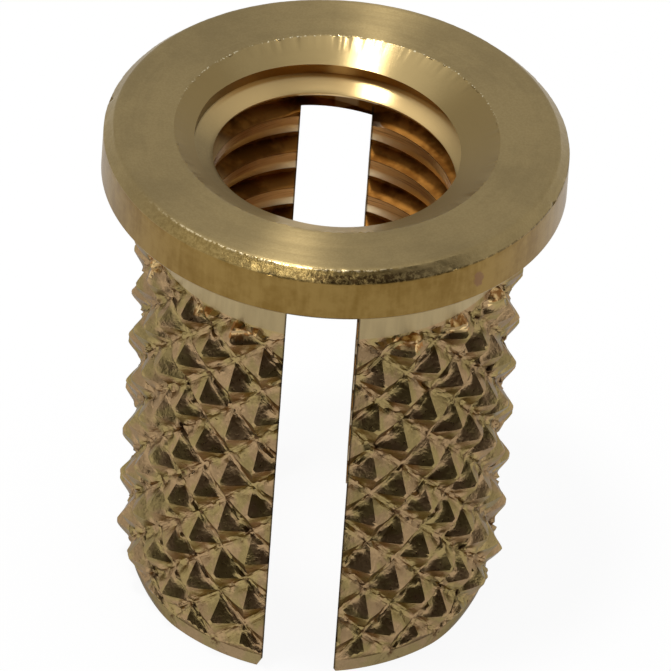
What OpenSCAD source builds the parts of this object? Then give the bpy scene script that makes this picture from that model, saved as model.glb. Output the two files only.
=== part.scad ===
// Threaded insert: a one-piece turned brass bush for pressing into plastic or wood.
// A flange stops it at the face, a diamond knurl grips the hole, and a slot across
// the body leaves two legs that the screw spreads outwards.
// Millimetres. +Z runs up the axis towards the flange, the leg ends stand on z = 0,
// and the slot runs through along Y.

/* [Size] */
// Overall length, from the leg ends to the top face of the flange
overall_length = 9.45; // [7.5:0.05:14]

/* [Flange] */
// Outer diameter of the flange
flange_d = 8.2; // [7.4:0.05:12]
// Thickness of the flange
flange_t = 0.98; // [0.6:0.02:1.6]
// Bevel round the flange's top edge
flange_bevel = 0.18; // [0.05:0.01:0.3]

/* [Threaded bore] */
// Diameter of the bore at the thread crests, 4.13 to 4.33 for an M5 x 0.8 thread
bore_d = 4.3; // [3.2:0.02:5.2]
// Width of the countersink at the top face
countersink_d = 5.74; // [5.4:0.02:7]
// Included angle of the countersink
countersink_angle = 120; // [82:1:130]
// Chamfer where the bore comes out between the legs
bore_exit_chamfer = 0.12; // [0.02:0.01:0.3]

/* [Body] */
// How far the surface of the plain neck under the flange lies inside the knurl's points
neck_step = 0.22; // [0.1:0.01:0.4]
// Length of the plain neck, from the flange to the knurl
neck_length = 1.12; // [0.5:0.02:2]
// How far the surface of the plain tip, which leads into the hole, lies inside the points
tip_step = 0.27; // [0.1:0.01:0.4]
// Length of the plain tip
tip_length = 0.24; // [0.1:0.01:1]
// Chamfer round the end of the legs
tip_chamfer = 0.1; // [0.02:0.01:0.3]

/* [Knurl] */
// Diameter over the points of the knurl
knurl_d = 6.84; // [5.7:0.02:8.2]
// Depth of the knurl's grooves
knurl_depth = 0.29; // [0.12:0.01:0.36]
// Distance between points along the body
knurl_pitch = 1.03; // [0.7:0.01:1.6]
// Number of points round the body
knurl_count = 19; // [14:1:26]
// How far along the body the knurl rises to its full height at the tip
knurl_run_in = 0.46; // [0.2:0.01:1]
// How far along the body it falls away at the neck
knurl_run_out = 0.12; // [0.05:0.01:0.5]
// Height above the leg ends of a ring of points in line with the slot
knurl_datum = 1.28; // [0:0.01:1.6]

/* [Slot] */
// Width of the slot across the body
slot_w = 1.26; // [0.6:0.02:2]
// Solid neck left between the slot's end and the flange
slot_bridge = 0.18; // [0.05:0.01:1]

/* [Hidden] */
$fn = 96;

// Amount by which a cutting shape runs past the face that it cuts
past = 0.5;
// Amount by which the knurled sleeve and the core behind it overlap
lap = 0.2;

flange_r = flange_d / 2;
flange_z = overall_length - flange_t;
bore_r = bore_d / 2;
countersink_r = countersink_d / 2;
countersink_slope = tan(countersink_angle / 2);
slot_top = flange_z - slot_bridge;

knurl_r = knurl_d / 2;
knurl_root_r = knurl_r - knurl_depth;
neck_r = knurl_r - neck_step;
tip_r = knurl_r - tip_step;
knurl_bottom = tip_length;
knurl_top = flange_z - neck_length;

// Half a pitch each way is one step of the grid on which points and crossings alternate
column_angle = 180 / knurl_count;
row_height = knurl_pitch / 2;
first_row = floor((knurl_bottom - knurl_datum) / row_height) - 1;
last_row = ceil((knurl_top - knurl_datum) / row_height) + 1;
columns = 2 * knurl_count;
rows = last_row - first_row + 1;
core_r = min(knurl_root_r, tip_r, neck_r) - lap;

// The turned blank: flange, neck, core and tip in one section
module turned_blank() {
    rotate_extrude()
        polygon([
            [0, 0],
            [tip_r - tip_chamfer, 0],
            [tip_r, tip_chamfer],
            [tip_r, knurl_bottom],
            [core_r, knurl_bottom],
            [core_r, knurl_top],
            [neck_r, knurl_top],
            [neck_r, flange_z],
            [flange_r, flange_z],
            [flange_r, overall_length - flange_bevel],
            [flange_r - flange_bevel, overall_length],
            [0, overall_length]
        ]);
}

// Grid point of the knurl: a point where column and row agree, a groove crossing elsewhere.
// Column 0 lies in line with the slot, at the -Y side.
function knurl_radius(column, row) =
    (column + row + 2 * rows) % 2 == 0 ? knurl_r : knurl_root_r;
function knurl_vertex(column, row) =
    let (r = knurl_radius(column, row), a = column * column_angle - 90)
    [r * cos(a), r * sin(a), knurl_datum + row * row_height];
function vertex_index(column, step) = step * columns + column % columns;

// One square of the grid, split along the line of its groove
function grid_square(column, step) =
    let (
        low = vertex_index(column, step),
        low_next = vertex_index(column + 1, step),
        high = vertex_index(column, step + 1),
        high_next = vertex_index(column + 1, step + 1),
        groove_rises = (column + step + first_row + 2 * rows) % 2 != 0
    )
    groove_rises
        ? [[low, high_next, low_next], [low, high, high_next]]
        : [[low, high, low_next], [low_next, high, high_next]];

// A solid column whose outside is the diamond lattice
module knurl_lattice() {
    ring = [for (step = [0 : rows - 1], column = [0 : columns - 1])
        knurl_vertex(column, first_row + step)];
    sides = [for (step = [0 : rows - 2], column = [0 : columns - 1])
        each grid_square(column, step)];
    floor_face = [for (column = [0 : columns - 1]) vertex_index(column, 0)];
    roof_face = [for (column = [columns - 1 : -1 : 0]) vertex_index(column, rows - 1)];
    polyhedron(ring, concat(sides, fan(floor_face), fan(roof_face)));
}

// A flat many-sided face as triangles
function fan(face) = [for (i = [1 : len(face) - 2]) [face[0], face[i], face[i + 1]]];

// The space between tip and neck, with the knurl's run-in and run-out
module knurl_envelope() {
    rotate_extrude()
        polygon([
            [0, knurl_bottom],
            [tip_r, knurl_bottom],
            [knurl_r + lap, knurl_bottom + knurl_run_in * (tip_step + lap) / tip_step],
            [knurl_r + lap, knurl_top - knurl_run_out * (neck_step + lap) / neck_step],
            [neck_r, knurl_top],
            [0, knurl_top]
        ]);
}

// Bore with its countersunk entry and chamfered exit
module bore() {
    rotate_extrude()
        polygon([
            [0, -past],
            [bore_r + bore_exit_chamfer + past, -past],
            [bore_r, bore_exit_chamfer],
            [bore_r, overall_length - (countersink_r - bore_r) / countersink_slope],
            [countersink_r, overall_length],
            [countersink_r, overall_length + past],
            [0, overall_length + past]
        ]);
}

// Saw cut across the body, right through both walls
module slot() {
    translate([-slot_w / 2, -flange_r - past, -past])
        cube([slot_w, flange_d + 2 * past, slot_top + past]);
}

module insert_body() {
    color([0.72, 0.58, 0.34])
        difference() {
            union() {
                turned_blank();
                intersection() {
                    knurl_lattice();
                    knurl_envelope();
                }
            }
            bore();
            slot();
        }
}

insert_body();
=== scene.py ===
"""A knurled brass threaded insert: turned flange, tapped bore, sawn legs."""
import math

import bmesh
import bpy
import numpy as np
from mathutils import Matrix, Vector, noise


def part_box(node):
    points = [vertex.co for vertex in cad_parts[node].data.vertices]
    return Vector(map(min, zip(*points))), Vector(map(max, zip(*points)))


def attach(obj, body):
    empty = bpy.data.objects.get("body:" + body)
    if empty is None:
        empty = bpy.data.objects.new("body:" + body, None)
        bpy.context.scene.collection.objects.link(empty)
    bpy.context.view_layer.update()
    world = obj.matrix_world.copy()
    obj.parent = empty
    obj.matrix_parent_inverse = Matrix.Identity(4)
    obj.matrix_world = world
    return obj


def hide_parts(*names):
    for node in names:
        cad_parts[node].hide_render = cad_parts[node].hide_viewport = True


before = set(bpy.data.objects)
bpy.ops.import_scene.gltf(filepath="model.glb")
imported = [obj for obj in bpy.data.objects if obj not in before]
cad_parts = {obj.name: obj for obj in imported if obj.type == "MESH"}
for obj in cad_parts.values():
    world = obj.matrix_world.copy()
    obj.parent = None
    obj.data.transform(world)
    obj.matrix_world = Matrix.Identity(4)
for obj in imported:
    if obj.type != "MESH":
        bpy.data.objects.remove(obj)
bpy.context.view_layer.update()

bl_info = {
    "name": "Knurled threaded insert",
    "version": (1, 0, 0),
    "blender": (4, 5, 0),
    "location": "View3D > Sidebar > Insert",
    "description": "Models a slotted, knurled brass insert and its studio floor",
    "category": "Object",
}

BODY_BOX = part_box("insert_body")
MM = 0.001

# Everything below is in millimetres until the finished piece is scaled to metres. Angles round
# the axis are in degrees from the right, through the back, unless they are said to be from the
# front.
LENGTH = (BODY_BOX[1][2] - BODY_BOX[0][2]) / MM
FLANGE_R = (BODY_BOX[1][0] - BODY_BOX[0][0]) / 2 / MM
FRONT_DEG, BACK_DEG = -90.0, 90.0

# The knurl is a lattice of pyramids, half a pitch to each column and row.
STEPS = 380                  # round the part: ten to each column
COLUMNS = 38
COLUMN_DEG = 360.0 / COLUMNS
ROW = 0.515
ROW_STEPS = 10
DATUM_Z = 1.28               # at the front, a point lies at this height
KNURL_LOW, KNURL_HIGH = 0.24, 7.35
POINT_R, KNURL_DEPTH = 3.47, 0.31
GROOVE_SOFT = 0.15           # how rounded the grooves are
FACE_BULGE = 0.16            # how far the pyramids' faces stand out
POINT_CAP = 0.90             # above this share of the height the points are worn down

NECK_R, TIP_R = 3.20, 3.19
SKIN_R = 2.9                 # the body's outside lies beyond this radius, and its bore within
SEAT_Z = 8.47                # the flange's underside
BEVEL = 0.18
DISH_R, DISH_LOW_R, DISH_SLOPE = 2.87, 2.05, math.tan(math.radians(30))
MINOR_R, MAJOR_R = 2.15, 2.46
THREAD_PITCH = 0.8
CREST_Z = 7.842              # lower edge of a crest at the back
SLOT_W, SLOT_TOP, SLOT_X = 1.26, 8.29, -0.03

# Angles from the front, to the right: the middle and half width of each curl of torn metal at
# the knurl's upper end, and those and the depth of each nick in the flange's edge.
CURLS = ((-70, 4), (-41, 3.5), (-25, 4.5), (27, 5), (45, 4), (66, 4), (100, 5), (131, 4),
         (155, 5), (-170, 4), (-140, 5), (-112, 4))
NICKS = ((29.0, 0.8, 0.03), (32.0, 0.7, 0.03), (-14.0, 0.7, 0.03), (71.0, 0.9, 0.03),
         (-101.0, 1.1, 0.04), (150.0, 1.3, 0.04), (-160.0, 0.9, 0.03))

TINY = 1e-6                  # keeps a division or a rounding down safe
LATHE_MERGE = 0.0004         # points closer than this are one point
TAP_MERGE = 0.0005
FINAL_MERGE = 2e-7           # the same on the finished piece, in metres
LEAST_FACES = 10000          # a body that was cut has many more faces
SHARP_DEG = 26               # edges sharper than this are shaded as edges

# The order of the finishes in the body's material slots.
TURNED, ROLLED, TAPPED, SAWN, TORN = range(5)


# ---------------------------------------------------------------- shader maths

class Level:
    """A number in a shader: a socket that can be used in an expression."""

    def __init__(self, board, socket):
        self.board, self.socket = board, socket

    def _math(self, operation, *values, clamp=False):
        return self.board.math(operation, *values, clamp=clamp)

    def __add__(self, other): return self._math("ADD", self, other)
    def __radd__(self, other): return self._math("ADD", other, self)
    def __sub__(self, other): return self._math("SUBTRACT", self, other)
    def __rsub__(self, other): return self._math("SUBTRACT", other, self)
    def __mul__(self, other): return self._math("MULTIPLY", self, other)
    def __rmul__(self, other): return self._math("MULTIPLY", other, self)
    def __truediv__(self, other): return self._math("DIVIDE", self, other)
    def __rtruediv__(self, other): return self._math("DIVIDE", other, self)
    def __pow__(self, other): return self._math("POWER", self, other)
    def __abs__(self): return self._math("ABSOLUTE", self)

    def low(self, other): return self._math("MINIMUM", self, other)
    def high(self, other): return self._math("MAXIMUM", self, other)
    def clamp(self): return self._math("ADD", self, 0.0, clamp=True)

    def ramp(self, start, end):
        """A smooth step from 0 at start to 1 at end."""
        return self.board.node(
            "ShaderNodeMapRange", dict(interpolation_type="SMOOTHSTEP"),
            {"Value": self, "From Min": start, "From Max": end, "To Min": 0.0, "To Max": 1.0},
        )["Result"]

    def band(self, start, full, fade, end):
        """0 up to start, 1 from full to fade, and 0 again past end."""
        return self.ramp(start, full) * self.ramp(end, fade)


class Outputs:
    """A node's output sockets by name."""

    def __init__(self, board, node):
        self.board, self.node = board, node

    def __getitem__(self, name):
        return Level(self.board, self.node.outputs[name])


class Board:
    """The node tree of one material or world."""

    def __init__(self, tree):
        self.tree = tree
        tree.nodes.clear()

    def plug(self, socket, value):
        """Links a level to a socket, or sets the socket to a number or colour."""
        if isinstance(value, Level):
            self.tree.links.new(value.socket, socket)
        elif socket.type == "RGBA" and len(value) == 3:
            socket.default_value = (*value, 1.0)
        else:
            socket.default_value = value

    def node(self, kind, settings=None, values=None):
        """A new node with its settings made first, then its sockets linked or set."""
        node = self.tree.nodes.new(kind)
        for name, value in (settings or {}).items():
            setattr(node, name, value)
        for name, value in (values or {}).items():
            self.plug(node.inputs[name], value)
        return Outputs(self, node)

    def math(self, operation, *values, clamp=False):
        return self.node(
            "ShaderNodeMath", dict(operation=operation, use_clamp=clamp), dict(enumerate(values))
        )["Value"]

    def mix(self, factor, first, second, blend="MIX"):
        """One colour over another. The node has unnamed twins of its sockets, so they are
        numbered: 0, 6 and 7 are the factor and the two colours, and 2 is the result."""
        return Level(self, self.node(
            "ShaderNodeMix", dict(data_type="RGBA", blend_type=blend),
            {0: factor, 6: first, 7: second},
        ).node.outputs[2])

    def vector(self, x, y, z):
        return self.node("ShaderNodeCombineXYZ", None, {"X": x, "Y": y, "Z": z})["Vector"]

    def split(self, vector):
        out = self.node("ShaderNodeSeparateXYZ", None, {"Vector": vector})
        return out["X"], out["Y"], out["Z"]

    def grain(self, vector, scale, detail=2.0, roughness=0.5):
        """Noise from 0 to 1, mostly near 0.5."""
        return self.node("ShaderNodeTexNoise", dict(noise_dimensions="3D"), {
            "Vector": vector, "Scale": scale, "Detail": detail, "Roughness": roughness,
        })["Fac"]

    def bump(self, height, strength, distance, normal=None):
        values = {"Height": height, "Strength": strength, "Distance": distance * MM}
        if normal is not None:
            values["Normal"] = normal
        return self.node("ShaderNodeBump", None, values)["Normal"]


class Brass(Board):
    """A brass finish, with the piece's own round coordinates in millimetres."""

    def __init__(self, name):
        material = bpy.data.materials.new(name)
        material.use_nodes = True
        super().__init__(material.node_tree)
        self.material = material
        place = self.node("ShaderNodeTexCoord")["Object"]
        self.place = self.node("ShaderNodeVectorMath", dict(operation="SCALE"),
                               {0: place, "Scale": 1.0 / MM})["Vector"]
        self.x, self.y, self.z = self.split(self.place)
        self.r = (self.x * self.x + self.y * self.y) ** 0.5
        # Cosine and sine of the angle round the axis: a pattern on them has no seam. The cosine
        # is 1 at the right, and the sine is 1 at the back.
        self.c, self.s = self.x / self.r, self.y / self.r

    def shifted(self, amount):
        """The place moved along, for a pattern that has to differ from another."""
        return self.node("ShaderNodeVectorMath", dict(operation="ADD"),
                         {0: self.place, 1: (amount, amount, amount)})["Vector"]

    def angle(self):
        """The angle round the axis in degrees, from the right, through the back."""
        return self.math("ARCTAN2", self.y, self.x) * (180.0 / math.pi)

    def finish(self, colour, roughness, normal, anisotropy=0.0, rotation=0.0, edge=1.0):
        shader = self.node("ShaderNodeBsdfPrincipled", None, {
            "Base Color": colour, "Roughness": roughness, "Normal": normal,
            "Metallic": 1.0, "Anisotropic": anisotropy, "Anisotropic Rotation": rotation,
            "Specular Tint": (edge, edge, edge),
        })["BSDF"]
        self.node("ShaderNodeOutputMaterial", None, {"Surface": shader})
        return self.material


# ------------------------------------------------------------- modelling tools

def only(piece):
    """Selects one piece and nothing else."""
    bpy.ops.object.select_all(action="DESELECT")
    bpy.context.view_layer.objects.active = piece
    piece.select_set(True)


def edit():
    bpy.ops.object.mode_set(mode="EDIT")
    bpy.ops.mesh.select_mode(type="VERT")


def done():
    bpy.ops.object.mode_set(mode="OBJECT")


def merge(distance):
    bpy.ops.mesh.select_all(action="SELECT")
    bpy.ops.mesh.remove_doubles(threshold=distance)


def point_outwards():
    bpy.ops.mesh.select_all(action="SELECT")
    bpy.ops.mesh.normals_make_consistent(inside=False)


def draw_line(name, points):
    """A line of edges through the points. It leaves the piece in edit mode."""
    bpy.ops.mesh.primitive_plane_add(size=1.0)
    piece = bpy.context.object
    piece.name = name
    edit()
    bpy.ops.mesh.select_all(action="SELECT")
    bpy.ops.mesh.merge(type="CENTER")
    bpy.ops.transform.translate(value=points[0])
    for before, after in zip(points, points[1:]):
        bpy.ops.mesh.extrude_region_move(TRANSFORM_OT_translate={
            "value": tuple(b - a for a, b in zip(before, after))})
    return piece


def draw_profile(name, points):
    """A line of edges through (radius, height) points, drawn in the XZ plane."""
    piece = draw_line(name, [(r, 0.0, z) for r, z in points])
    done()
    return piece


def turn(piece):
    """Spins a profile round the axis into a closed shell."""
    only(piece)
    edit()
    bpy.ops.mesh.select_all(action="SELECT")
    bpy.ops.mesh.spin(steps=STEPS, angle=math.tau, center=(0, 0, 0), axis=(0, 0, 1))
    merge(LATHE_MERGE)
    point_outwards()
    done()


def cut(piece, tool):
    """Takes the tool's shape out of the piece, and throws the tool away."""
    only(piece)
    modifier = piece.modifiers.new("cut", "BOOLEAN")
    modifier.operation = "DIFFERENCE"
    modifier.solver = "MANIFOLD"
    modifier.object = tool
    bpy.ops.object.modifier_apply(modifier=modifier.name)
    bpy.data.objects.remove(tool, do_unlink=True)


def places(piece):
    """The piece's vertices as an array, one row for each."""
    flat = np.empty(len(piece.data.vertices) * 3)
    piece.data.vertices.foreach_get("co", flat)
    return flat.reshape(-1, 3)


def put_back(piece, rows):
    piece.data.vertices.foreach_set("co", rows.ravel())
    piece.data.update()


def radius(rows):
    return np.hypot(rows[:, 0], rows[:, 1])


def draw_in(rows, scale):
    """Moves each place straight towards the axis, or away from it."""
    rows[:, 0] *= scale
    rows[:, 1] *= scale


def front_angle(rows):
    """Each place's angle from the front, to the right, in degrees."""
    theta = np.degrees(np.arctan2(rows[:, 1], rows[:, 0]))
    return (theta - FRONT_DEG + 180.0) % 360.0 - 180.0


def smoothstep(x, low, high):
    t = np.clip((x - low) / (high - low), 0.0, 1.0)
    return t * t * (3.0 - 2.0 * t)


def hump(x, middle, half):
    """1 at the middle, falling off smoothly to either side."""
    return np.exp(-((x - middle) / half) ** 2)


def rumple(rows, hit, scale, seed):
    """Smooth noise, about -1 to 1, at the places that are hit, and 0 at the others. The scale
    is in waves to a millimetre."""
    values = np.zeros(len(rows))
    values[hit] = [noise.noise(Vector((x * scale + seed, y * scale, z * scale)))
                   for x, y, z in rows[hit]]
    return values


# ------------------------------------------------------------------- the blank

def blank_profile():
    """The turned blank as (radius, height) points, from the axis at the foot to the axis at the
    top. Its rings lie close together where the knurl and the bevel need them."""
    step = ROW / ROW_STEPS
    first = math.ceil((KNURL_LOW + 0.01 - DATUM_Z) / step)
    last = math.floor((KNURL_HIGH - 0.01 - DATUM_Z) / step)
    knurl = [(TIP_R if k < first + 4 else NECK_R, DATUM_Z + k * step)
             for k in range(first, last + 1)]
    rim = [SEAT_Z + 0.04 + k * (LENGTH - BEVEL - SEAT_Z - 0.06) / 8 for k in range(9)]
    bevel = [(FLANGE_R - BEVEL * k, LENGTH - BEVEL * (1 - k))
             for k in (0, 0.2, 0.4, 0.6, 0.8, 0.92)]
    bevel += [(FLANGE_R - BEVEL - 0.012, LENGTH - 0.004), (FLANGE_R - BEVEL - 0.04, LENGTH)]
    return [
        (0.0, 0.0), (2.7, 0.0), (TIP_R - 0.012, 0.0), (TIP_R - 0.002, 0.01),
        (TIP_R, 0.04), (TIP_R, 0.08), (TIP_R, 0.12), (TIP_R, 0.18), (TIP_R, KNURL_LOW),
        *knurl,
        (NECK_R, KNURL_HIGH), (NECK_R, 7.5), (NECK_R, 7.8), (NECK_R, 8.1), (NECK_R, 8.38),
        (NECK_R + 0.02, 8.45), (NECK_R + 0.08, SEAT_Z), (3.6, SEAT_Z), (4.02, SEAT_Z),
        (4.08, SEAT_Z + 0.01), (FLANGE_R, rim[0]), *[(FLANGE_R, z) for z in rim[1:]],
        *bevel, (3.8, LENGTH), (3.6, LENGTH), (3.3, LENGTH), (3.0, LENGTH), (2.93, LENGTH),
        (0.0, LENGTH),
    ]


def knurl_height(column, row):
    """How far up a pyramid a place is: 0 in a groove and 1 at a point."""
    i, j = np.floor(column + TINY), np.floor(row + TINY)
    across, along = column - i, row - j
    even = ((i + j) % 2) == 0
    return np.where(even, np.abs(across + along - 1.0), np.abs(across - along))


def wear_pyramids(h, phi, coarse, middle, fine):
    """The worn height of the pyramids: nearly flat faces that meet in rounded grooves, with torn
    lips beside the grooves and worn points. The sides of the part are rougher."""
    body = (np.sqrt(h ** 2 + GROOVE_SOFT ** 2) - GROOVE_SOFT) / (
        math.sqrt(1.0 + GROOVE_SOFT ** 2) - GROOVE_SOFT)
    body = body + FACE_BULGE * body * (1.0 - body)
    side = smoothstep(np.abs(np.sin(np.radians(phi))), 0.55, 0.9)
    rough = (1.0 - 0.88 * smoothstep(h, 0.14, 0.50)) * (1.0 + 0.7 * side)
    height = body * (1.0 + 0.12 * coarse) + (0.15 * middle + 0.040 * fine) * rough
    lips = hump(h, 0.12, 0.09)
    height = height + lips * (0.30 * np.clip(middle - 0.05, 0.0, 1.0) + 0.16 * fine)
    return np.where(height > POINT_CAP, POINT_CAP + (height - POINT_CAP) * 0.35, height)


def tear_upper_end(skin, z, phi, coarse, middle, fine):
    """The skin's radius where the knurl's upper end is torn: metal is pushed up into small curls
    that stop at an uneven line, with the plain neck above it."""
    curl = np.zeros(len(z))
    for at, half in CURLS:
        curl = np.maximum(curl, np.exp(-((phi - at) / half) ** 4))
    edge = KNURL_HIGH - 0.13 + 0.14 * coarse + 0.08 * middle + 0.07 * curl
    below = (edge - z) / 0.10
    skin = skin + hump(below, 1.1, 0.8) * (0.6 + 0.8 * middle + 0.3 * fine) * curl * 0.13
    neck = NECK_R - 0.004 * np.abs(fine)
    rise = neck + np.clip(below, 0.0, 1.2) ** 0.6 * 0.22
    return np.where(below < 0.0, neck, np.minimum(skin, rise))


def roll_knurl(piece, depth):
    """Presses the diamond pattern into the body. No operator makes a rolled lattice, so the
    vertices are moved in code, as with a sculpting brush."""
    rows = places(piece)
    r, z, phi = radius(rows), rows[:, 2], front_angle(rows)
    hit = (z > KNURL_LOW + 0.005) & (z < KNURL_HIGH - 0.005) & (r > SKIN_R)
    fine, middle, coarse, aside, along = (
        rumple(rows, hit, scale, seed)
        for scale, seed in ((9.0, 3.0), (4.0, 29.0), (1.5, 11.0), (0.9, 41.0), (0.9, 57.0)))
    column, row = np.round(phi / COLUMN_DEG, 4), np.round((z - DATUM_Z) / ROW, 4)
    height = wear_pyramids(knurl_height(column, row), phi, coarse, middle, fine)
    skin = POINT_R - depth * (1.0 - np.clip(height, 0.0, 1.0))
    # The points grow and the grooves deepen bit by bit above the plain tip.
    skin = np.minimum(skin, TIP_R + (z - KNURL_LOW) / 0.46 * (POINT_R - TIP_R))
    skin = np.maximum(skin, TIP_R - 0.10 * np.clip(z - KNURL_LOW, 0.0, 0.5))
    skin = tear_upper_end(skin, z, phi, coarse, middle, fine)
    skin = np.minimum(skin, POINT_R - 0.002)
    draw_in(rows, np.where(hit, skin / np.maximum(r, TINY), 1.0))
    # The grooves wander a little.
    fade = smoothstep(z, KNURL_LOW, KNURL_LOW + 0.6)
    fade = fade * smoothstep(z, KNURL_HIGH, KNURL_HIGH - 0.4) * hit
    turn_by = np.radians(1.4) * aside * fade
    x, y = rows[:, 0].copy(), rows[:, 1].copy()
    rows[:, 0] = x * np.cos(turn_by) - y * np.sin(turn_by)
    rows[:, 1] = x * np.sin(turn_by) + y * np.cos(turn_by)
    rows[:, 2] += 0.07 * along * fade
    put_back(piece, rows)


def bend_legs(piece):
    """Puts the sawn legs a little out of true, in code because each place moves by its own
    amount: the body leans to the right, the corners beside the saw cut are sprung outwards at
    the end, and the ends are worn round at the sides."""
    rows = places(piece)
    r, z, phi = radius(rows), rows[:, 2].copy(), front_angle(rows)
    top = 8.0                                        # nothing above this height moves
    hit = (r > SKIN_R) & (z < top)
    at_slot = hump(phi, 0.0, 24.0) + hump(180.0 - np.abs(phi), 0.0, 24.0)
    bow = 0.055 * at_slot * (smoothstep(z, 3.5, 0.0) * hit)
    sprung = np.where(phi < 0.0, 0.075, 0.050) * hump(phi, 0.0, 48.0)
    sprung = sprung * smoothstep(z, 1.3, 0.0) * hit
    side = smoothstep(np.abs(np.sin(np.radians(phi))), 0.70, 0.95)
    inward = 0.03 * side * smoothstep(z, 0.9, 0.0) + 0.05 * side * smoothstep(z, 0.16, 0.0)
    change = (bow + sprung - inward * hit) / np.maximum(r, TINY)
    lean = hit * (0.008 + 0.018 * (1.0 - z / top)) * smoothstep(z, top, top - 0.5)
    rows[:, 0] += rows[:, 0] * change + lean
    rows[:, 1] += rows[:, 1] * change
    put_back(piece, rows)


def wear_flange(piece, wear):
    """Crumbles the flange's bevel and its edges, in code because the wear is uneven: fine all
    round, rougher at the front, and a few nicks."""
    rows = places(piece)
    r, z, phi = radius(rows), rows[:, 2], front_angle(rows)
    hit = (r > FLANGE_R - BEVEL - 0.02) & (z > LENGTH - BEVEL - 0.01)
    grit, fine, middle = (rumple(rows, hit, scale, seed)
                          for scale, seed in ((19.0, 5.0), (8.0, 23.0), (2.6, 17.0)))
    front = 0.30 + 0.70 * hump(phi, 8.0, 24.0)
    top_edge = hump(LENGTH - z, 0.0, 0.03)
    bite = (0.008 + 0.018 * np.clip(grit, -0.4, 1) + 0.014 * np.clip(fine, -0.2, 1)
            + 0.012 * middle) * front * (1.0 - 0.6 * top_edge)
    corner = hump(z, LENGTH - BEVEL, 0.05)
    for at, half, deep in NICKS:
        bite = bite + corner * deep * hump(phi, at, half)
    bite = np.clip(bite, 0.0, 0.07) * hit * wear
    draw_in(rows, 1.0 - 0.7 * bite / np.maximum(r, TINY))
    rows[:, 2] -= 0.7 * bite
    put_back(piece, rows)


def wear_dish(piece, wear):
    """Leaves small burrs on the sharp edge between the flange's face and its dish. They are
    uneven, so the vertices are moved in code."""
    rows = places(piece)
    r = radius(rows)
    hit = (np.abs(r - DISH_R) < 0.004) & (rows[:, 2] > LENGTH - 0.004)
    draw_in(rows, 1.0 + 0.050 * wear * rumple(rows, hit, 21.0, 71.0) / np.maximum(r, TINY))
    put_back(piece, rows)


def crease_grooves(piece):
    """Splits the four-sided faces of the knurl along the grooves and ridges of each pyramid. No
    operator picks one diagonal for each face, so it is done with bmesh."""
    mesh = bmesh.new()
    mesh.from_mesh(piece.data)
    pairs = []
    for face in mesh.faces:
        if len(face.verts) != 4:
            continue
        centre = face.calc_center_median()
        if not (KNURL_LOW < centre.z < KNURL_HIGH) or centre.xy.length < SKIN_R:
            continue
        column = (math.degrees(math.atan2(centre.y, centre.x)) - FRONT_DEG) / COLUMN_DEG
        even = (math.floor(column) + math.floor((centre.z - DATUM_Z) / ROW)) % 2 == 0
        low = sorted(face.verts, key=lambda v: v.co.z)[:2]
        axis = Vector((-centre.y, centre.x, 0.0))
        left = min(low, key=lambda v: v.co.dot(axis))
        right = max(low, key=lambda v: v.co.dot(axis))
        start = right if even else left
        index = list(face.verts).index(start)
        pairs.append((face, start, face.verts[(index + 2) % 4]))
    for face, start, end in pairs:
        bmesh.utils.face_split(face, start, end)
    mesh.to_mesh(piece.data)
    mesh.free()


# ------------------------------------------------------------------- the tools

def thread_profile():
    """One pitch of the tap, from a crest's lower edge up, as (radius, height)."""
    crest = 0.37
    return [
        (MINOR_R + 0.082, -0.040),
        (MINOR_R + 0.006, crest * 0.44),
        (MINOR_R + 0.006, crest * 0.52),
        (MINOR_R + 0.008, crest * 0.60),
        (MINOR_R + 0.008, crest * 0.80),
        (MINOR_R + 0.006, crest),
        (2.30, 0.430),
        (MAJOR_R, 0.495),
        (MAJOR_R, 0.600),
        (2.33, 0.670),
        (MINOR_R + 0.082, THREAD_PITCH - 0.040),
    ]


def open_profile():
    """Where the same points lie in the last groove at the mouth, as (radius, height)."""
    return [
        (MINOR_R + 0.040, -0.020), (MINOR_R + 0.014, 0.020), (MINOR_R + 0.008, 0.035),
        (MINOR_R + 0.006, 0.045), (MINOR_R + 0.020, 0.060), (MINOR_R + 0.08, 0.095),
        (2.33, 0.150), (2.50, 0.245), (2.50, 0.450), (2.33, 0.540), (MINOR_R + 0.035, 0.642),
    ]


def make_tap():
    """The tapped hole's shape: the thread profile wound up a right-hand screw."""
    turns, turns_below = 16, 12                      # in all, and below the crest's height
    foot, head = -0.6, 10.2
    start = CREST_Z - turns_below * THREAD_PITCH - THREAD_PITCH * BACK_DEG / 360.0
    tap = draw_profile("tap", [(r, start + z) for r, z in thread_profile()])
    only(tap)
    screw = tap.modifiers.new("wind", "SCREW")
    screw.axis = "Z"
    screw.angle = math.tau
    screw.screw_offset = THREAD_PITCH
    screw.iterations = turns
    screw.steps = screw.render_steps = 120
    screw.use_merge_vertices = True
    screw.merge_threshold = TAP_MERGE
    bpy.ops.object.modifier_apply(modifier=screw.name)
    shape_first_turn(tap)
    edit()
    merge(TAP_MERGE)
    for height, upper in ((foot, False), (head, True)):
        bpy.ops.mesh.select_all(action="SELECT")
        bpy.ops.mesh.bisect(plane_co=(0, 0, height), plane_no=(0, 0, 1), use_fill=True,
                            clear_inner=not upper, clear_outer=upper)
    point_outwards()
    done()
    return tap


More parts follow.
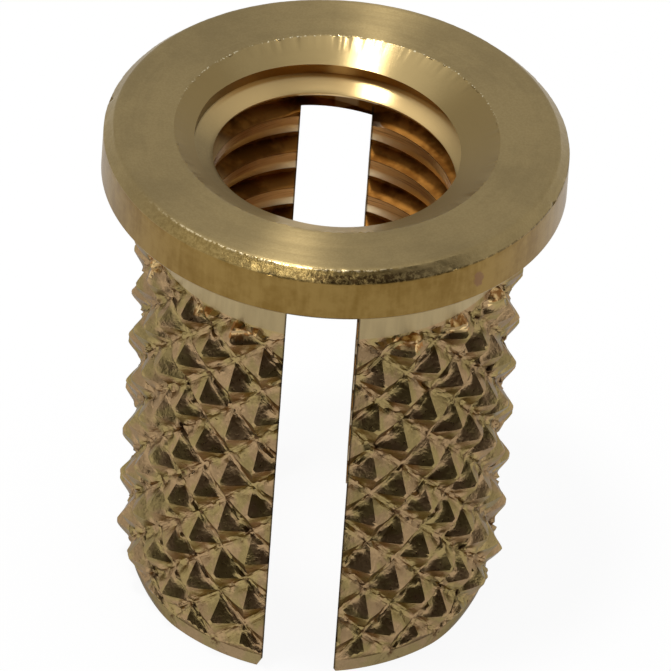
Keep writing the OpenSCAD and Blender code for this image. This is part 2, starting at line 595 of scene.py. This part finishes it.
def shape_first_turn(tap):
    """Opens the last groove at the mouth: its ridge is pushed down to an edge, so the groove
    shows a plain flank with a low wall behind it. The change fades in round the screw, so the
    vertices are moved in code."""
    rows = places(tap)
    r = radius(rows)
    theta = np.degrees(np.arctan2(rows[:, 1], rows[:, 0])) % 360.0
    base = CREST_Z + THREAD_PITCH * (theta - BACK_DEG) / 360.0
    level = (rows[:, 2] - base) / THREAD_PITCH
    turn_no = np.floor(level + 0.053)                # a profile starts just below its own turn
    frac = level - turn_no
    wound = theta + 360.0 * (turn_no - 1.0)          # degrees past the first ridge's start
    weight = smoothstep(wound, -70.0, 0.0)
    profile_z = np.array([z for _, z in thread_profile()])
    index = np.abs(frac[:, None] - profile_z[None, :] / THREAD_PITCH).argmin(axis=1)
    target_r, target_z = np.array(open_profile())[index].T
    # The edge above the open groove lies lower too, where it runs out in the countersink.
    over = smoothstep(wound, 270.0, 330.0) * (index == 0)
    target_z = target_z - over * 0.158
    rows[:, 2] += (target_z - profile_z[index]) * weight
    draw_in(rows, (r + (target_r - r) * weight) / r)
    put_back(tap, rows)


def slant_slot_end(piece, width):
    """Slants the slot's end inside the bore at the back, down to the right. It is a cut edge
    that no operator selects, so its vertices are moved in code."""
    rows = places(piece)
    across = (rows[:, 0] - SLOT_X) / (width / 2)
    hit = (radius(rows) < 2.62) & (rows[:, 1] > 0.0)
    near = np.clip(1.0 - np.abs(rows[:, 2] - SLOT_TOP) / 0.2, 0.0, 1.0)
    fade = smoothstep(np.abs(across), 1.5, 1.02)
    rows[:, 2] -= (0.02 + 0.125 * np.clip(across, -1.0, 1.0)) * near * fade * hit
    put_back(piece, rows)


def chamfer_tool():
    """Opens the bore's lower end a little."""
    low_r, low_z, high_r, high_z = 2.37, -0.1, 2.05, 0.22
    bpy.ops.mesh.primitive_cone_add(
        vertices=STEPS, radius1=low_r, radius2=high_r, depth=high_z - low_z,
        location=(0, 0, (low_z + high_z) / 2))
    tool = bpy.context.object
    tool.name = "exit_chamfer"
    bpy.ops.object.transform_apply(location=True, rotation=True, scale=True)
    return tool


def dish_tool():
    """The countersink, with rings close to its upper edge."""
    over = 0.2
    radii = (DISH_LOW_R, 2.3, 2.6, DISH_R - 0.025, DISH_R, DISH_R + over / DISH_SLOPE)
    rings = [(r, LENGTH - (DISH_R - r) * DISH_SLOPE) for r in radii]
    tool = draw_profile("countersink", [(0.0, rings[0][1]), *rings, (0.0, LENGTH + over)])
    turn(tool)
    return tool


def prism_tool(name, outline, far):
    """A closed outline of points, pushed the whole way through along one direction."""
    tool = draw_line(name, outline)
    bpy.ops.mesh.select_all(action="SELECT")
    bpy.ops.mesh.edge_face_add()
    bpy.ops.mesh.extrude_region_move(TRANSFORM_OT_translate={"value": far})
    point_outwards()
    done()
    return tool


def saw_tool(width):
    """The slot. It is a hair wider in the middle than where it leaves the body."""
    half, middle, body, far, under = width / 2, width / 2 + 0.02, 3.4, 6.0, 2.0
    right = [(half, -far), (half, -body), (middle, 0.0), (half, body), (half, far)]
    outline = right + [(-x, y) for x, y in reversed(right)]
    return prism_tool("saw", [(SLOT_X + x, y, -under) for x, y in outline],
                      (0, 0, SLOT_TOP + under))


def corner_tool(width):
    """Takes the corners off the leg ends beside the slot."""
    left, right, far = SLOT_X - width / 2, SLOT_X + width / 2, 6.0
    outline = [(left - 0.11, -0.02), (right + 0.06, -0.02),
               (right - 0.01, 0.09), (left + 0.01, 0.22)]
    return prism_tool("corners", [(x, -far, z) for x, z in outline], (0, 2 * far, 0))


# ------------------------------------------------------------------- finishes

# Fixed tones of stains, burrs and dirt, and of painted shade, painted highlights and painted
# glints.
COPPER_STAIN = (0.17, 0.075, 0.055)
LIP_BROWN = (0.42, 0.22, 0.055)
PAINTED_GLINT = (1.0, 0.90, 0.62)
BEVEL_DULL, BEVEL_GOLD = (0.235, 0.160, 0.052), (0.36, 0.255, 0.095)
BEVEL_PAINTED_HIGHLIGHT, BEVEL_SHADE = (0.80, 0.66, 0.40), (0.055, 0.030, 0.012)
BEVEL_LINE = (0.07, 0.045, 0.015)
SLOT_BURR, SAW_BURR = (0.035, 0.024, 0.014), (0.05, 0.028, 0.012)
KNURL_DUST, FOOT_DARKER = (0.16, 0.110, 0.045), (0.16, 0.120, 0.07)
GROOVE_DIRT_AND_SHADE, TORN_SHADE = (0.085, 0.045, 0.020), (0.38, 0.185, 0.060)
CREST_LINE, GROOVE_SHADE = (0.26, 0.125, 0.060), (0.10, 0.040, 0.012)


def shade(colour, red, green=None, blue=None):
    """A colour made lighter or darker, by the same or by three separate amounts."""
    return tuple(c * k for c, k in zip(colour, (red, green or red, blue or red)))


def shade_of(b, colour, amount):
    """A colour from the node tree, made lighter or darker."""
    return b.mix(1.0, colour, (amount, amount, amount), "MULTIPLY")


def spot(b, degrees, height, half_width, half_height):
    """A soft, uneven spot on the outside, at an angle to the right of the front."""
    a = math.radians(degrees)
    along = (b.x * math.cos(a) + b.y * math.sin(a)) / half_width
    up = (b.z - height) / half_height
    wobble = b.grain(b.place, 9.0, 2.0, 0.6)
    far = (along * along + up * up) ** 0.5 + (wobble - 0.5) * 1.4
    return far.ramp(1.1, 0.7) * (b.x * math.sin(a) - b.y * math.cos(a)).ramp(0.0, 1.0)


def edge_of_slot(b, colour):
    """Dark burrs beside the saw cut on the legs, and above it under the flange's rim."""
    far, half = abs(b.x - SLOT_X), SLOT_W / 2
    beside = far.band(half - 0.02, half - 0.005, half + 0.012, half + 0.045)
    beside = beside * b.z.ramp(SLOT_TOP + 0.05, SLOT_TOP)
    above = far.ramp(half + 0.02, half - 0.02)
    above = above * b.z.ramp(SEAT_Z + 0.055, SEAT_Z + 0.02) * b.r.ramp(3.9, 4.0)
    return b.mix((beside + above).clamp() * 0.85, colour, SLOT_BURR)


def flange_face(b, look, tone):
    """The flange's face and its dish. The dish is browner and darker at the sides, as painted
    shade, and brighter at the back, as painted sheen; the lip below it is painted brighter too, as
    painted sheen; and its outer edge has painted glints in places."""
    face = b.mix(tone, shade(look.face, 0.90), shade(look.face, 1.10))
    pits = b.grain(b.place, 24.0, 2.0, 0.7)
    face = b.mix(pits.ramp(0.60, 0.40) * 0.16, face, shade(look.face, 0.60, 0.52, 0.40))
    below = (LENGTH - (DISH_R - b.r) * DISH_SLOPE - b.z).ramp(0.008, 0.03)
    inside = b.r.ramp(DISH_R + 0.01, DISH_R - 0.01)
    # Painted shade: the dish is browner and darker away from the back.
    painted_dish_shade = inside * (1.0 - below) * b.s.ramp(0.9, 0.5)
    face = b.mix(painted_dish_shade, face, shade(look.face, 0.90, 0.86, 0.78))
    # Painted sheen: the back of the dish is lighter.
    face = b.mix(inside * b.s.ramp(0.6, 0.95), face, shade(look.face, 1.22, 1.20, 1.18))
    # Painted sheen: the band below the dish's lip is nearly twice as light at the back.
    wall = b.r.band(2.1, 2.14, 2.47, 2.49) * below * b.s.ramp(-0.1, 0.8)
    face = b.mix(wall, face, shade(look.face, 1.95, 1.85, 1.80))
    lip = b.r.band(2.40, 2.45, 2.52, 2.54) * below * b.s.ramp(0.35, 0.80) * 0.9
    face = b.mix(lip, face, LIP_BROWN)
    # Painted glints: near-white flecks along the dish's sharp outer edge, towards the back.
    painted_glints = b.r.band(DISH_R - 0.022, DISH_R - 0.008, DISH_R + 0.008, DISH_R + 0.022)
    painted_glints = painted_glints * b.grain(b.place, 24.0, 1.0, 0.5).ramp(0.56, 0.66) * b.s.ramp(0.1, 0.6)
    return b.mix(painted_glints * 0.8, face, PAINTED_GLINT)


def flange_bevel(b, face, crumb):
    """The bevel's colour: golden and crumbly only on the lit front, crumbled metal in a painted
    sheen, with a broken painted highlight line along its upper edge, painted shade on its lower
    half just right of the front, and like the face elsewhere."""
    gold = b.mix(crumb.ramp(0.30, 0.70), BEVEL_DULL, BEVEL_GOLD)
    # The golden crumbly colour shows only on the lit front-left: painted sheen over the crumbled
    # metal.
    lit = b.c.band(-0.95, -0.6, 0.15, 0.45) * b.s.ramp(0.0, -0.2)
    # A broken painted highlight line runs along the bevel's upper edge.
    line = b.r.ramp(FLANGE_R - BEVEL + 0.035, FLANGE_R - BEVEL + 0.015)
    gold = b.mix(line * lit * crumb.ramp(0.42, 0.60), gold, BEVEL_PAINTED_HIGHLIGHT)
    gold = b.mix(lit, face, gold)
    dark = b.c.band(-0.22, 0.02, 0.30, 0.55) * b.s.ramp(0.0, -0.3)
    dark = dark * b.z.ramp(LENGTH - 0.05, LENGTH - 0.10) * crumb.ramp(0.62, 0.42)
    return b.mix(dark * 0.85, gold, BEVEL_SHADE)


def turned_brass(look):
    """The flange with its dish and bevel, the plain neck, the leg ends and the slot's end."""
    b = Brass("Turned brass")
    rings = b.grain(b.vector(b.r * 42.0, b.z * 42.0, b.c * 0.6), 1.0, 3.0, 0.65)
    arcs = b.grain(b.vector(b.r * 9.0, b.c * 1.6, b.s * 1.6), 1.0, 3.0, 0.6)
    blotch = b.grain(b.place, 0.9, 3.0, 0.6)
    speck = b.grain(b.place, 7.0, 2.0, 0.6)
    crumb = b.grain(b.place, 14.0, 3.0, 0.7)
    # The rim stays yellower, with faint upright streaks; the neck is pale and clean.
    streak = b.grain(b.vector(b.c * 26.0, b.s * 26.0, b.z * 1.2), 1.0, 2.0, 0.6)
    face = flange_face(b, look, (0.6 * blotch + 0.25 * arcs + 0.15 * speck).ramp(0.36, 0.64))
    rim_tone = (0.5 * blotch + 0.3 * streak + 0.2 * speck).ramp(0.38, 0.62)
    rim = b.mix(rim_tone, shade(look.rim, 0.84, 0.80, 0.70), shade(look.rim, 1.16, 1.20, 1.30))
    rim = b.mix(spot(b, 40.0, 8.86, 0.11, 0.17) * 0.55, rim, COPPER_STAIN)
    neck = b.mix(streak.ramp(0.3, 0.7), shade(look.neck, 1.03), shade(look.neck, 1.16))
    on_rim = b.r.ramp(FLANGE_R - 0.03, FLANGE_R - 0.005)
    on_neck = b.z.ramp(SEAT_Z - 0.02, SEAT_Z - 0.05) * b.r.ramp(SKIN_R, SKIN_R + 0.1)
    colour = b.mix(on_neck, b.mix(on_rim, face, rim), neck)
    bevel = (b.r + b.z).ramp(FLANGE_R + LENGTH - BEVEL - 0.05, FLANGE_R + LENGTH - BEVEL - 0.02)
    bevel = bevel * b.r.ramp(FLANGE_R - BEVEL - 0.01, FLANGE_R - BEVEL + 0.01)
    bevel = bevel * b.z.ramp(LENGTH - BEVEL - 0.02, LENGTH - BEVEL + 0.005)
    colour = b.mix(bevel, colour, flange_bevel(b, face, crumb))
    # A broken dark line runs under the bevel, from left of the front round to the right.
    corner = LENGTH - BEVEL
    under = b.z.band(corner - 0.035, corner - 0.015, corner - 0.004, corner + 0.012)
    under = under * b.r.ramp(4.0, 4.05) * b.c.ramp(-0.35, -0.10)
    colour = b.mix(under * crumb.ramp(0.62, 0.45) * 0.7, colour, BEVEL_LINE)
    normal = b.bump(rings, 0.5, 0.004)
    normal = b.bump(crumb * bevel, 0.25, 0.02, normal)
    return b.finish(edge_of_slot(b, colour), 0.26 + 0.08 * arcs, normal,
                    anisotropy=0.95, rotation=0.25)


def lattice(b):
    """How far a place is from the nearer groove of each hand, and the two groove directions."""
    column = (b.angle() - FRONT_DEG) * (COLUMNS / 360.0)
    row = (b.z - DATUM_Z) / ROW
    one, other = column + row, column - row
    far_one = abs(b.math("FLOORED_MODULO", one, 2.0) - 1.0)
    far_other = abs(b.math("FLOORED_MODULO", other, 2.0) - 1.0)
    return one, other, far_one, far_other


def rolled_brass(look):
    """The knurled body: smeared along its grooves, pitted, with dirt and painted shade in its
    grooves and where they cross, darker towards the foot, and with painted shade on the right leg.
    """
    b = Brass("Rolled brass")
    one, other, far_one, far_other = lattice(b)
    near = far_one.low(far_other)
    along_one = b.grain(b.vector(far_one * 9.0, other * 1.1, b.z * 0.2), 1.0, 3.0, 0.65)
    along_other = b.grain(b.vector(far_other * 9.0, one * 1.1, b.z * 0.2 + 7.0), 1.0, 3.0, 0.65)
    nearer = (far_other - far_one).ramp(-0.03, 0.03)
    drag = nearer * along_one + (1.0 - nearer) * along_other
    hue = b.grain(b.place, 2.6, 2.0, 0.5)
    patch = b.grain(b.shifted(13.0), 6.0, 3.0, 0.6)
    fine = b.grain(b.place, 16.0, 2.0, 0.6)
    colour = b.mix(hue.ramp(0.40, 0.60), shade(look.knurl, 0.94, 0.99, 0.86),
                   shade(look.knurl, 1.08, 1.01, 1.12))
    colour = b.mix(fine.ramp(0.3, 0.7) * 0.18, colour, KNURL_DUST)
    # Darker towards the foot.
    foot = b.z.ramp(KNURL_LOW + 0.04, KNURL_LOW - 0.02)
    colour = b.mix(foot * 0.45, colour, FOOT_DARKER)
    # Painted shade: the middle of the right leg is a tenth darker.
    colour = b.mix(b.x.band(0.4, 1.0, 2.2, 3.0), colour, shade_of(b, colour, 0.90))
    # A thin, broken dark line runs in each groove, with small dark patches where two cross: dirt
    # and painted shade in the hollows.
    line = near.ramp(0.060, 0.030) * patch.ramp(0.50, 0.60)
    cross = far_one.high(far_other).ramp(0.42, 0.16) * patch.ramp(0.50, 0.58)
    colour = b.mix((0.45 * line + 0.7 * cross).clamp(), colour, GROOVE_DIRT_AND_SHADE)
    lips = near.band(0.05, 0.12, 0.13, 0.22)
    smear = 0.5 * lips * drag.ramp(0.35, 0.6) + 0.5 * drag * near.ramp(0.45, 0.15)
    normal = b.bump(fine + patch, 0.62, 0.013, b.bump(smear, 0.5, 0.020))
    return b.finish(edge_of_slot(b, colour), 0.22 + 0.16 * fine, normal, edge=0.45)


def tapped_brass(look):
    """The bore's thread: worn bright on its crests, with painted sheen and shade on them, and
    stained in its grooves.
    """
    b = Brass("Tapped brass")
    blotch = b.grain(b.place, 2.0, 3.0, 0.6)
    lines = b.grain(b.vector(b.c * 2.0, b.s * 2.0, b.z * 30.0), 1.0, 3.0, 0.6)
    turns = (b.z - CREST_Z) / THREAD_PITCH - (b.angle() - BACK_DEG) / 360.0
    # From a little below a crest: the crest's lower half in a paler painted sheen, then its upper
    # half in painted shade, with fine lines along the thread. Both are painted lighter on the
    # right and darker on the left.
    within = b.math("FLOORED_MODULO", turns + 0.06, 1.0)
    side = b.c.ramp(-0.7, 0.6)
    pale = b.mix(b.c.ramp(-0.35, -0.80), shade(look.crest, 0.50, 0.50, 0.54),
                 shade(look.crest, 0.95, 0.92, 0.95))
    pale = b.mix(side, pale, shade(look.crest, 1.06, 1.10, 1.30))
    shaded_upper_half = b.mix(side, shade(look.crest, 0.62, 0.55, 0.60), shade(look.crest, 1.05, 1.05, 1.30))
    shaded_upper_half = b.mix(lines.ramp(0.50, 0.65) * 0.5, shaded_upper_half, CREST_LINE)
    clean = b.mix(within.ramp(0.24, 0.31), pale, shaded_upper_half)
    tarnish = b.mix(blotch.ramp(0.40, 0.60), shade(look.tarnish, 0.60, 0.52, 0.4),
                    shade(look.tarnish, 1.30, 1.35, 1.4))
    # Painted shade: the tarnish is darker on the left than on the right.
    tarnish = b.mix(side, shade_of(b, tarnish, 0.75), shade_of(b, tarnish, 0.86))
    tarnish = b.mix(within.ramp(0.60, 0.50) * 0.55, tarnish, GROOVE_SHADE)
    # The front half of the bore is painted in the bright crest colour, as painted light for the
    # back wall to reflect; the far left and right are duller, and there is a paler patch above the
    # slot's end.
    front = b.s.ramp(0.0, -0.4)
    tarnish = b.mix(front * 0.85, tarnish, look.crest)
    ends = b.c.ramp(-0.84, -0.94) * 0.7 + b.c.ramp(0.94, 0.98) * 0.35
    tarnish = b.mix(ends, tarnish, shade(look.crest, 0.50, 0.48, 0.45))
    patch = b.x.band(-0.10, -0.04, 0.30, 0.38) * b.s.ramp(0.5, 0.9) * b.z.ramp(8.24, 8.27)
    tarnish = b.mix(patch * 0.8, tarnish, shade(look.crest, 0.62, 0.55, 0.55))
    groove = (within + 0.02 * (lines - 0.5)).ramp(0.490, 0.515)
    deep = (b.r + 0.05 * (lines - 0.5)).ramp(MINOR_R + 0.08, MINOR_R + 0.14)
    deep = groove.high(deep)
    rough = 0.28 + 0.32 * deep * (1.0 - front)
    colour = edge_of_slot(b, b.mix(deep, clean, tarnish))
    return b.finish(colour, rough, b.bump(lines, 0.5, 0.010))


def sawn_brass(look):
    """The slot's walls, with the saw's lines and a dark burr along their outer edges."""
    b = Brass("Sawn brass")
    saw = b.grain(b.vector(b.x * 4.0, b.y * 1.5, b.z * 30.0), 1.0, 3.0, 0.6)
    colour = b.mix(saw.ramp(0.35, 0.65), shade(look.knurl, 1.05), shade(look.knurl, 1.40))
    colour = b.mix(b.r.ramp(2.95, 3.05) * 0.8, colour, SAW_BURR)
    return b.finish(colour, 0.42, b.bump(saw, 0.5, 0.015), edge=0.15)


def torn_brass(look):
    """The curls of torn metal above the knurl."""
    b = Brass("Torn brass")
    patch = b.grain(b.place, 6.0, 3.0, 0.6)
    colour = b.mix(patch.ramp(0.44, 0.60), TORN_SHADE, shade(look.torn, 1.0))
    return b.finish(edge_of_slot(b, colour), 0.38, b.bump(patch, 0.4, 0.02), edge=0.6)


def finish_of(face, slot):
    """Which finish a face of the finished body has, by its place and the way it faces."""
    x, y, z = (c / MM for c in face.center)
    r = math.hypot(x, y)
    degrees = math.degrees(math.atan2(y, x))
    phi = (degrees - FRONT_DEG + 180.0) % 360.0 - 180.0
    crest = CREST_Z + THREAD_PITCH * (degrees % 360.0 + (360.0 - BACK_DEG)) / 360.0
    dish = LENGTH - (DISH_R - r) * DISH_SLOPE
    if abs(face.normal.x) > 0.99 and abs(abs(x - SLOT_X) - slot / 2) < 0.03:
        return SAWN
    if r > SKIN_R and z < KNURL_HIGH + 0.02:
        torn = z > KNURL_HIGH - 0.30 and face.normal.z > 0.15 and r > NECK_R + 0.02
        return TORN if torn and any(abs(phi - at) < half for at, half in CURLS) else ROLLED
    if r < MAJOR_R + 0.07 and z < crest - 0.03 and z < dish - 0.012:
        return TAPPED
    return TURNED


# ----------------------------------------------------------------- properties

def size(name, description, default, low, high):
    return bpy.props.FloatProperty(
        name=name, description=description, default=default * MM, min=low * MM, max=high * MM,
        precision=5, unit="LENGTH", subtype="DISTANCE")


def tint(name, description, default):
    return bpy.props.FloatVectorProperty(
        name=name, description=description, subtype="COLOR", default=default, min=0.0, max=1.0)


class InsertSizes(bpy.types.PropertyGroup):
    knurl_depth: size("Knurl depth", "Depth of the rolled pattern", KNURL_DEPTH, 0.0, 0.4)
    slot_width: size("Slot width", "Width of the saw cut between the legs", SLOT_W, 0.5, 2.0)
    edge_wear: bpy.props.FloatProperty(
        name="Edge wear", description="How far the flange's edges are knocked about",
        default=1.0, min=0.0, max=1.5)


class InsertLook(bpy.types.PropertyGroup):
    face: tint("Face", "Colour of the turned flange face and dish", (0.362, 0.270, 0.122))
    rim: tint("Rim", "Colour of the flange's rim", (0.245, 0.151, 0.041))
    neck: tint("Neck", "Colour of the plain neck", (0.360, 0.275, 0.142))
    knurl: tint("Knurl", "Colour of the rolled body", (0.405, 0.287, 0.135))
    torn: tint("Torn metal", "Colour of the curls above the knurl", (0.92, 0.66, 0.31))
    crest: tint("Thread crest", "Colour of the thread's crests", (0.92, 0.70, 0.36))
    tarnish: tint("Tarnish", "Colour of the stain in the thread", (0.43, 0.190, 0.036))


class StageLook(bpy.types.PropertyGroup):
    floor_colour: tint("Floor", "Colour of the plain floor", (0.92, 0.92, 0.92))


# ------------------------------------------------------------------ operators

class INSERT_OT_body(bpy.types.Operator):
    """Models the insert from a turned blank and gives it its finishes"""
    bl_idname = "insert.body"
    bl_label = "Insert body"

    def execute(self, context):
        sizes, look = context.scene.insert_sizes, context.scene.insert_look
        slot = sizes.slot_width / MM
        body = draw_profile("knurled_insert", blank_profile())
        turn(body)
        roll_knurl(body, sizes.knurl_depth / MM)
        bend_legs(body)
        wear_flange(body, sizes.edge_wear)
        crease_grooves(body)
        for tool in (make_tap, dish_tool, chamfer_tool):
            cut(body, tool())
        cut(body, saw_tool(slot))
        cut(body, corner_tool(slot))
        slant_slot_end(body, slot)
        wear_dish(body, sizes.edge_wear)
        only(body)
        body.scale = (MM, MM, MM)
        bpy.ops.object.transform_apply(location=True, rotation=True, scale=True)
        edit()
        merge(FINAL_MERGE)
        point_outwards()
        done()
        if len(body.data.polygons) < LEAST_FACES:
            raise RuntimeError("the insert's body was not cut")
        bpy.ops.object.shade_smooth_by_angle(angle=math.radians(SHARP_DEG))
        # The cuts can leave empty slots behind, so those are cleared first.
        body.data.materials.clear()
        for finish in (turned_brass, rolled_brass, tapped_brass, sawn_brass, torn_brass):
            body.data.materials.append(finish(look))
        for face in body.data.polygons:
            face.material_index = finish_of(face, slot)
        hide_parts("insert_body")
        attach(body, "root")
        return {"FINISHED"}


class INSERT_OT_stage(bpy.types.Operator):
    """Lays the floor, hangs the lamp and sets the camera"""
    bl_idname = "insert.stage"
    bl_label = "Stage"

    def execute(self, context):
        lay_floor(context, tuple(context.scene.insert_stage.floor_colour))
        light_room(context)
        set_camera(context)
        return {"FINISHED"}


FLOOR_SIZE = 6.0             # metres
WHITE_SHARE = 0.93           # how much of the floor's look is plain white, and not shadow
WHITE = (1.0, 1.0, 1.0)

# Directions in the room are an azimuth from the front towards the right and an elevation. Each
# soft edge is given by the angles from its middle at which it starts and at which it is full.
ROOM_LEVEL = 0.64
GLOW_AT, GLOW_EDGE, GLOW = (-60, 75), (46, 8), 0.62
SCREENS_AT, SCREEN_EDGE, SCREEN_TONE = ((-4, 19), (21, 19)), (48, 39), (0.030, 0.022, 0.015)
KEY_AT, KEY_DISTANCE, KEY_SIZE, KEY_POWER = (-59.5, 79.6), 0.2, 0.034, 0.19

# The camera: where it looks from and how it is tilted, in degrees, how far from the flange's
# centre it stands, in metres, and the point it looks at, in millimetres from that centre.
VIEW_ELEVATION, VIEW_AZIMUTH, VIEW_ROLL = 37.007, -0.195, 4.131
VIEW_DISTANCE = 0.41
AIM_ACROSS, AIM_UP = -0.0304, -3.543
LENS, SENSOR = 1253.7, 36.0


def aim(azimuth, elevation):
    """The unit direction at an azimuth, from the front towards the right, and an elevation."""
    a, e = math.radians(azimuth), math.radians(elevation)
    return Vector((math.sin(a) * math.cos(e), -math.cos(a) * math.cos(e), math.sin(e)))


def lay_floor(context, grey):
    """A plain pale floor. The camera and reflections see it as white with a soft shadow."""
    bpy.ops.mesh.primitive_plane_add(size=FLOOR_SIZE)
    floor = context.object
    floor.name = "floor"
    paper = bpy.data.materials.new("Plain paper")
    paper.use_nodes = True
    b = Board(paper.node_tree)
    matt = b.node("ShaderNodeBsdfDiffuse", None, {"Color": grey})["BSDF"]
    white = b.node("ShaderNodeEmission", None, {"Color": WHITE, "Strength": 1.0})["Emission"]
    path = b.node("ShaderNodeLightPath")
    seen = path["Is Camera Ray"].high(path["Is Glossy Ray"]) * WHITE_SHARE
    both = b.node("ShaderNodeMixShader", None, {0: seen, 1: matt, 2: white})["Shader"]
    b.node("ShaderNodeOutputMaterial", None, {"Surface": both})
    floor.data.materials.append(paper)


def light_room(context):
    """A soft grey room with a glow overhead, a dark screen at the front and one key lamp."""
    world = bpy.data.worlds.new("Soft room")
    context.scene.world = world
    world.use_nodes = True
    b = Board(world.node_tree)
    x, y, z = b.split(b.node("ShaderNodeTexCoord")["Generated"])

    def toward(place, edge):
        """1 in the middle of a round patch of the room, fading to 0 past its soft edge."""
        d = aim(*place)
        start, full = (math.cos(math.radians(angle)) for angle in edge)
        return (x * d.x + y * d.y + z * d.z).ramp(start, full)

    left, right = (toward(place, SCREEN_EDGE) for place in SCREENS_AT)
    level = ROOM_LEVEL + toward(GLOW_AT, GLOW_EDGE) * GLOW
    colour = b.mix(left.high(right), b.vector(level, level, level), SCREEN_TONE)
    sky, plain = (b.node("ShaderNodeBackground", None, {"Color": c, "Strength": 1.0})["Background"]
                  for c in (colour, WHITE))
    seen = b.node("ShaderNodeLightPath")["Is Camera Ray"]
    both = b.node("ShaderNodeMixShader", None, {0: seen, 1: sky, 2: plain})["Shader"]
    b.node("ShaderNodeOutputWorld", None, {"Surface": both})

    bpy.ops.object.light_add(type="AREA", location=aim(*KEY_AT) * KEY_DISTANCE)
    key = context.object
    key.name = "key"
    key.data.shape = "DISK"
    key.data.size = KEY_SIZE
    key.data.energy = KEY_POWER
    key.rotation_euler = key.location.to_track_quat("Z", "Y").to_euler()


def set_camera(context):
    """Points the camera a little below the flange's centre, and rolls it."""
    data = bpy.data.cameras.new("camera")
    camera = bpy.data.objects.new("camera", data)
    context.scene.collection.objects.link(camera)
    forward = -aim(VIEW_AZIMUTH, VIEW_ELEVATION)
    across = forward.cross(Vector((0, 0, 1))).normalized()
    upward = across.cross(forward)
    roll = math.radians(VIEW_ROLL)
    right = across * math.cos(roll) + upward * math.sin(roll)
    up = upward * math.cos(roll) - across * math.sin(roll)
    centre = Vector((0, 0, LENGTH * MM))
    camera.location = centre - forward * VIEW_DISTANCE
    look = (centre + (right * AIM_ACROSS + up * AIM_UP) * MM - camera.location).normalized()
    right = look.cross(up).normalized()
    up = right.cross(look)
    camera.rotation_euler = Matrix((right, up, -look)).transposed().to_euler()
    data.sensor_width = SENSOR
    data.lens = LENS
    data.clip_start, data.clip_end = 0.01, 10.0
    context.scene.camera = camera
    context.scene.view_settings.view_transform = "Standard"


class INSERT_PT_panel(bpy.types.Panel):
    bl_label = "Threaded insert"
    bl_idname = "INSERT_PT_panel"
    bl_space_type = "VIEW_3D"
    bl_region_type = "UI"
    bl_category = "Insert"

    def draw(self, context):
        scene = context.scene
        for groups, operator in (((scene.insert_sizes, scene.insert_look), INSERT_OT_body),
                                 ((scene.insert_stage,), INSERT_OT_stage)):
            for group in groups:
                for name in group.__annotations__:
                    self.layout.prop(group, name)
            self.layout.operator(operator.bl_idname)


CLASSES = (InsertSizes, InsertLook, StageLook, INSERT_OT_body, INSERT_OT_stage, INSERT_PT_panel)


def register():
    for cls in CLASSES:
        bpy.utils.register_class(cls)
    bpy.types.Scene.insert_sizes = bpy.props.PointerProperty(type=InsertSizes)
    bpy.types.Scene.insert_look = bpy.props.PointerProperty(type=InsertLook)
    bpy.types.Scene.insert_stage = bpy.props.PointerProperty(type=StageLook)


def unregister():
    del bpy.types.Scene.insert_stage
    del bpy.types.Scene.insert_look
    del bpy.types.Scene.insert_sizes
    for cls in reversed(CLASSES):
        bpy.utils.unregister_class(cls)


def main():
    register()
    bpy.ops.insert.body()
    bpy.ops.insert.stage()


if __name__ == "__main__":
    main()
